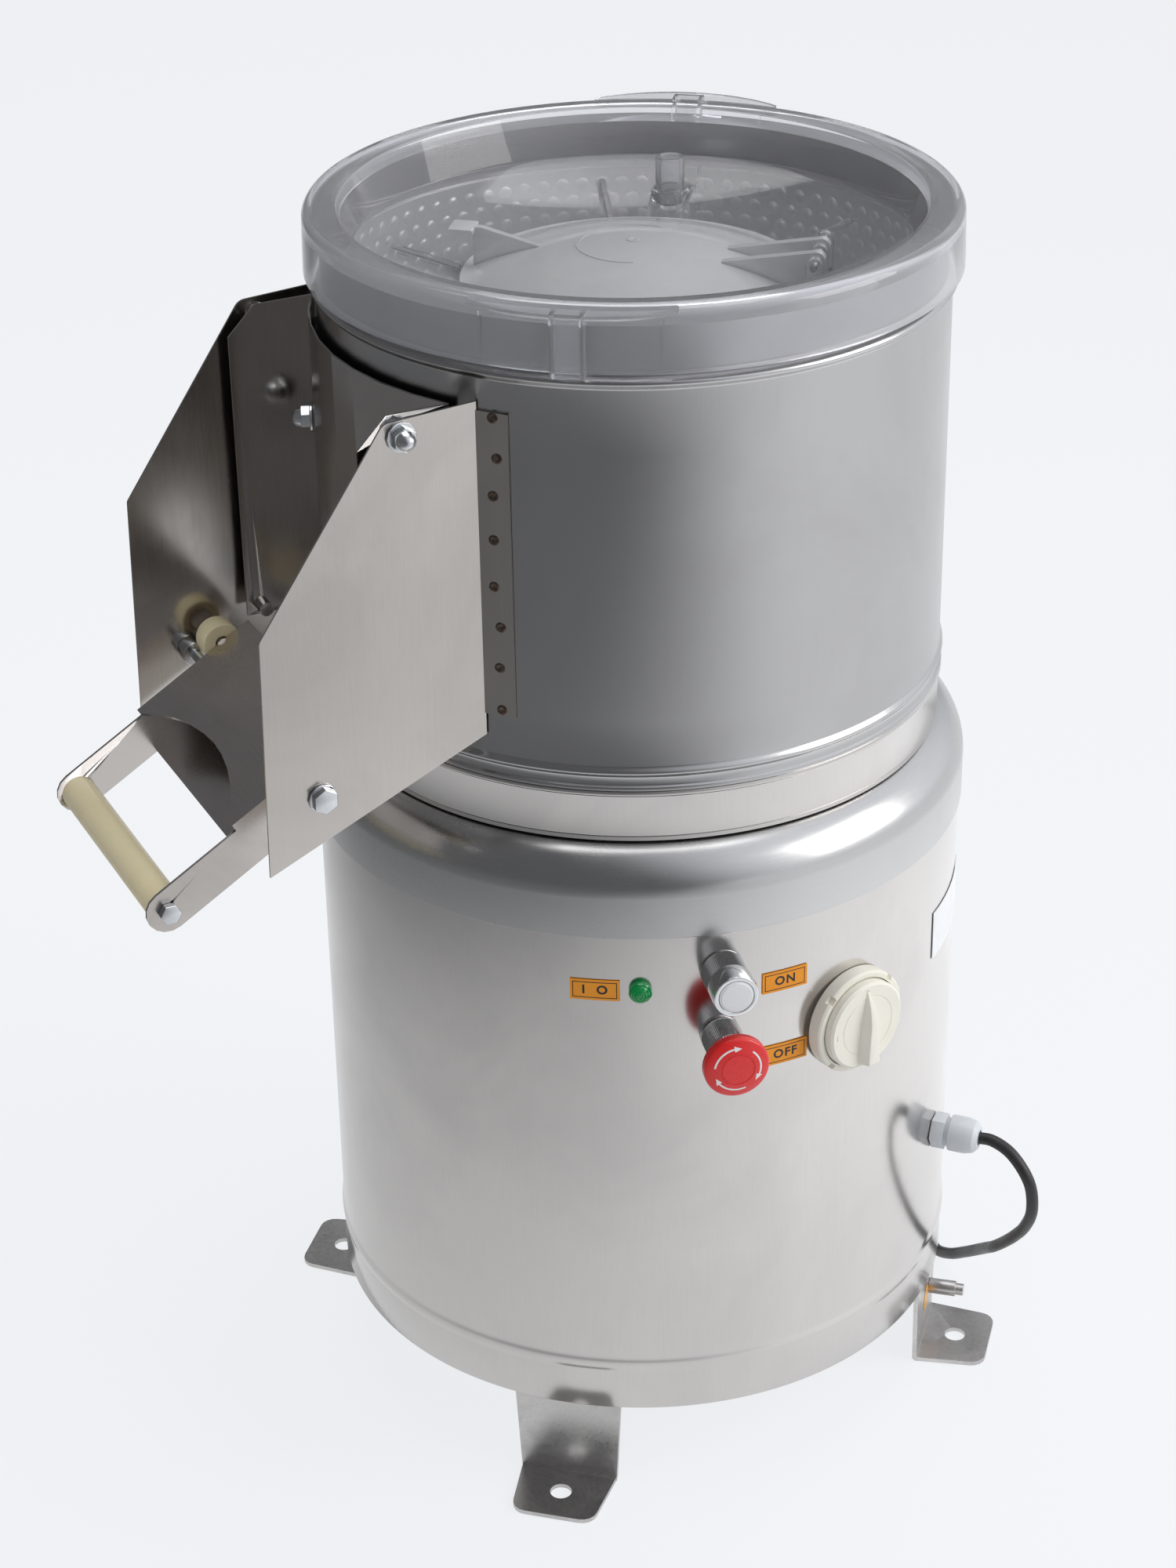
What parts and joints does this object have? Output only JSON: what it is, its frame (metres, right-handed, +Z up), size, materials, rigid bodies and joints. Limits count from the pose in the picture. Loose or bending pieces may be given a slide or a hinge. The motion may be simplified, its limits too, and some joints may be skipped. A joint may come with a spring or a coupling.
{
  "type": "electric potato peeler",
  "caption": "Free-standing drum potato peeler with a motor housing on bolt-down feet, clear lid with loading flap, discharge chute with door and hand lever, and electric controls.",
  "frame": {"origin": "middle of the footprint box of the machine without its cord, on the floor", "axes": "+Z up, -Y towards the controls, -X towards the discharge chute and its hand lever"},
  "size_m": [0.7073, 0.4708, 0.801],
  "materials": {
    "brushed_shell": "fine vertical brushing",
    "bright_shell": "fine, nearly polished",
    "sheet_steel": "mill finish sheet",
    "zinc": "bright zinc plate",
    "cast_iron": "machined",
    "motor_paint": "satin",
    "black_rubber": "matt",
    "abrasive": "coarse grit",
    "clear_plastic": "clear moulding",
    "milky_plastic": "translucent",
    "cream_plastic": "smooth",
    "ivory_plastic": "satin",
    "red_plastic": "glossy",
    "white_plastic": "satin",
    "green_lens": "clear lens",
    "orange_label": "printed film",
    "grey_plastic": "satin"
  },
  "bodies": {
    "machine": {"housing_shell": "brushed_shell", "top_cap": "bright_shell", "foot_front": "sheet_steel", "foot_right": "sheet_steel", "foot_back": "sheet_steel", "foot_left": "sheet_steel", "base_plate": "sheet_steel", "earth_stud": "zinc", "support_plate": "cast_iron", "bearing_housing": "cast_iron", "bearing_lower": "zinc", "bearing_upper": "zinc", "motor": "motor_paint", "drive_belt": "black_rubber", "contactor": "grey_plastic", "waste_pan": "sheet_steel", "waste_outlet": "sheet_steel", "shaft_seal": "black_rubber", "drum_shell": "bright_shell", "rasp_liner_front": "sheet_steel", "rasp_liner_side": "sheet_steel", "rasp_liner_back": "sheet_steel", "cheek_near": "sheet_steel", "cheek_far": "sheet_steel", "door_seal": "black_rubber", "hinge_bolt_near": "zinc", "pivot_bolt_near": "zinc", "pivot_bolt_far": "zinc", "start_barrel": "zinc", "stop_neck": "zinc", "rotary_ring": "ivory_plastic", "lamp_lens": "green_lens", "label_mains": "orange_label", "label_start": "orange_label", "label_stop": "orange_label", "side_plate": "white_plastic", "cable_gland": "grey_plastic", "cord_coil": "black_rubber", "mains_cord": "black_rubber", "mains_plug": "black_rubber"},
    "lid": {"lid": "clear_plastic", "flap_pin": "zinc"},
    "flap": {"loading_flap": "milky_plastic"},
    "lever": {"lever_frame": "sheet_steel", "lever_grip": "cream_plastic", "grip_bolt": "zinc"},
    "roller_far": {"lever_roller_far": "cream_plastic"},
    "roller_near": {"lever_roller_near": "cream_plastic"},
    "door": {"door_tray": "sheet_steel", "door_nut_far": "zinc", "door_nut_near": "zinc"},
    "rotor": {"abrasive_disc": "abrasive", "disc_nut": "zinc", "main_shaft": "zinc", "driven_pulley": "cast_iron"},
    "motor_rotor": {"drive_pulley": "cast_iron"},
    "start_button": {"start_cap": "white_plastic"},
    "stop_stem": {"stop_stem": "grey_plastic"},
    "stop_button": {"stop_head": "red_plastic"},
    "rotary_switch": {"rotary_dial": "ivory_plastic"}
  },
  "joints": [
    {"name": "lid_lift", "type": "slide", "parent": "machine", "child": "lid", "axis": [0, 0, 1], "range_m": [0, 0.12]},
    {"name": "flap_hinge", "type": "hinge", "parent": "lid", "child": "flap", "pos_m": [0.16509, -0.05982, 0.7707], "axis": [0.6018, 0.7986, 0], "range_deg": [0, 100]},
    {"name": "lever_pivot", "type": "hinge", "parent": "machine", "child": "lever", "pos_m": [-0.18186, 0.00698, 0.516], "axis": [0, 1, 0], "range_deg": [0, 60]},
    {"name": "door_hinge", "type": "hinge", "parent": "machine", "child": "door", "pos_m": [-0.12356, 0.00698, 0.727], "axis": [0, 1, 0], "range_deg": [0, 18]},
    {"name": "roller_far_spin", "type": "hinge", "parent": "lever", "child": "roller_far", "pos_m": [-0.16859, 0.09798, 0.52699], "axis": [0, 1, 0], "continuous": true},
    {"name": "roller_near_spin", "type": "hinge", "parent": "lever", "child": "roller_near", "pos_m": [-0.16859, -0.08402, 0.52699], "axis": [0, 1, 0], "continuous": true},
    {"name": "rotor_spin", "type": "hinge", "parent": "machine", "child": "rotor", "pos_m": [0.07644, 0.00698, 0.523], "axis": [0, 0, 1], "continuous": true},
    {"name": "motor_spin", "type": "hinge", "parent": "machine", "child": "motor_rotor", "pos_m": [0.13894, 0.11524, 0.428], "axis": [0, 0, 1], "continuous": true},
    {"name": "start_press", "type": "slide", "parent": "machine", "child": "start_button", "axis": [0.2215, 0.9751, 0], "range_m": [0, 0.004], "stiffness_N_per_m": 200},
    {"name": "stop_press", "type": "slide", "parent": "machine", "child": "stop_stem", "axis": [0.2267, 0.974, 0], "range_m": [0, 0.005], "stiffness_N_per_m": 200},
    {"name": "stop_twist", "type": "hinge", "parent": "stop_stem", "child": "stop_button", "pos_m": [0.02204, -0.22677, 0.343], "axis": [0.2267, 0.974, 0], "range_deg": [0, 30]},
    {"name": "rotary_turn", "type": "hinge", "parent": "machine", "child": "rotary_switch", "pos_m": [0.12151, -0.20324, 0.3307], "axis": [-0.2096, 0.9778, 0], "range_deg": [0, 90]}
  ],
  "couplings": [
    {"joint": "door_hinge", "follows": "lever_pivot", "ratio": 0.3},
    {"joint": "motor_spin", "follows": "rotor_spin", "ratio": 2.9333}
  ]
}
